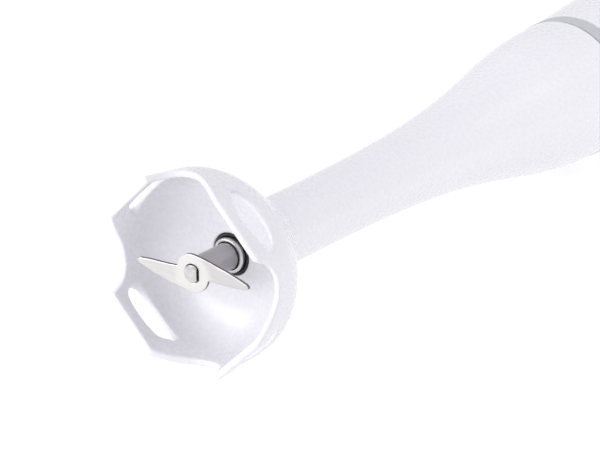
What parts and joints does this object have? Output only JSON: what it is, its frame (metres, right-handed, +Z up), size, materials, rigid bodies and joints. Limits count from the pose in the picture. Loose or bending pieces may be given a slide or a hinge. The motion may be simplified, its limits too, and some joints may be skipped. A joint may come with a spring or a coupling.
{
  "type": "immersion blender",
  "caption": "Hand-held immersion blender: rounded motor handle with push buttons, flared plastic stick that pulls off, and a slotted guard bell round a flat winged blade.",
  "frame": {"origin": "middle of the length and width, at the level of the surface that the blender lies on", "axes": "+X along the blade axis from the guard bell to the cord end, +Y to the left when looking along +X, +Z up through the speed buttons"},
  "size_m": [0.385, 0.0614, 0.0614],
  "materials": {
    "white_plastic": "gloss injection-moulded white plastic",
    "pale_grey_plastic": "satin moulded plastic",
    "grip_rubber": "fine-grained soft grip",
    "black_rubber": "matte black rubber",
    "polished_steel": "finely ground stainless steel",
    "satin_steel": "satin ground steel",
    "zinc_steel": "bright zinc-plated steel",
    "sintered_bronze": "porous sintered bronze",
    "copper": "enamelled copper",
    "ferrite": "sintered ferrite",
    "carbon": "pressed carbon",
    "natural_nylon": "natural nylon",
    "dark_plastic": "moulded dark plastic",
    "circuit_laminate": "green lacquered laminate"
  },
  "bodies": {
    "motor_body": {"housing_front": "white_plastic", "housing_back": "white_plastic", "coupling_collar": "pale_grey_plastic", "joint_seal": "black_rubber", "end_cap": "white_plastic", "cord_gland": "grip_rubber", "rear_grip": "grip_rubber", "button_panel": "pale_grey_plastic", "motor_can": "zinc_steel", "upper_magnet": "ferrite", "lower_magnet": "ferrite", "front_bearing": "sintered_bronze", "rear_bearing": "sintered_bronze", "motor_bracket": "dark_plastic", "front_mount_ring": "black_rubber", "rear_mount_ring": "black_rubber", "brush_carrier": "dark_plastic", "left_carbon_brush": "carbon", "right_carbon_brush": "carbon", "left_motor_lead": "black_rubber", "right_motor_lead": "black_rubber", "circuit_board": "circuit_laminate", "rectifier": "dark_plastic", "capacitor": "dark_plastic", "low_speed_switch": "dark_plastic", "high_speed_switch": "dark_plastic", "housing_screw_1": "zinc_steel", "housing_screw_2": "zinc_steel", "housing_screw_3": "zinc_steel", "housing_screw_4": "zinc_steel", "low_speed_spring": "zinc_steel", "high_speed_spring": "zinc_steel", "left_release_spring": "zinc_steel", "right_release_spring": "zinc_steel"},
    "stick": {"guard_bell": "white_plastic", "shank_tube": "white_plastic", "shaft_guide_tube": "zinc_steel", "lower_bearing": "polished_steel", "shaft_seal": "black_rubber", "stick_plate": "pale_grey_plastic", "upper_bearing": "sintered_bronze", "catch_ring": "zinc_steel"},
    "blade_shaft": {"blade": "polished_steel", "drive_shaft": "polished_steel", "shaft_sleeve": "satin_steel", "thrust_washer": "natural_nylon", "retaining_clip": "zinc_steel", "stick_coupler": "dark_plastic"},
    "rotor": {"motor_shaft": "polished_steel", "armature_core": "zinc_steel", "front_winding": "copper", "rear_winding": "copper", "commutator": "copper", "cooling_fan": "natural_nylon", "motor_coupler": "dark_plastic"},
    "low_speed_key": {"low_speed_button": "pale_grey_plastic"},
    "high_speed_key": {"high_speed_button": "pale_grey_plastic"},
    "left_release": {"left_release_button": "pale_grey_plastic"},
    "right_release": {"right_release_button": "pale_grey_plastic"}
  },
  "joints": [
    {"name": "stick_pull", "type": "slide", "parent": "motor_body", "child": "stick", "axis": [-1, 0, 0], "range_m": [0, 0.04]},
    {"name": "rotor_spin", "type": "hinge", "parent": "motor_body", "child": "rotor", "pos_m": [0, 0, 0.0307], "axis": [1, 0, 0], "continuous": true},
    {"name": "blade_spin", "type": "hinge", "parent": "stick", "child": "blade_shaft", "pos_m": [0, 0, 0.0307], "axis": [1, 0, 0], "continuous": true},
    {"name": "low_speed_press", "type": "slide", "parent": "motor_body", "child": "low_speed_key", "axis": [0, 0, -1], "range_m": [0, 0.002], "stiffness_N_per_m": 400, "springref_m": -0.002, "deforming": ["low_speed_spring"]},
    {"name": "high_speed_press", "type": "slide", "parent": "motor_body", "child": "high_speed_key", "axis": [0, 0, -1], "range_m": [0, 0.002], "stiffness_N_per_m": 400, "springref_m": -0.002, "deforming": ["high_speed_spring"]},
    {"name": "left_release_press", "type": "slide", "parent": "motor_body", "child": "left_release", "axis": [0, -1, 0], "range_m": [0, 0.002], "stiffness_N_per_m": 400, "springref_m": -0.002, "deforming": ["left_release_spring"]},
    {"name": "right_release_press", "type": "slide", "parent": "motor_body", "child": "right_release", "axis": [0, 1, 0], "range_m": [0, 0.002], "stiffness_N_per_m": 400, "springref_m": -0.002, "deforming": ["right_release_spring"]}
  ],
  "couplings": [
    {"joint": "blade_spin", "follows": "rotor_spin", "ratio": 1}
  ]
}
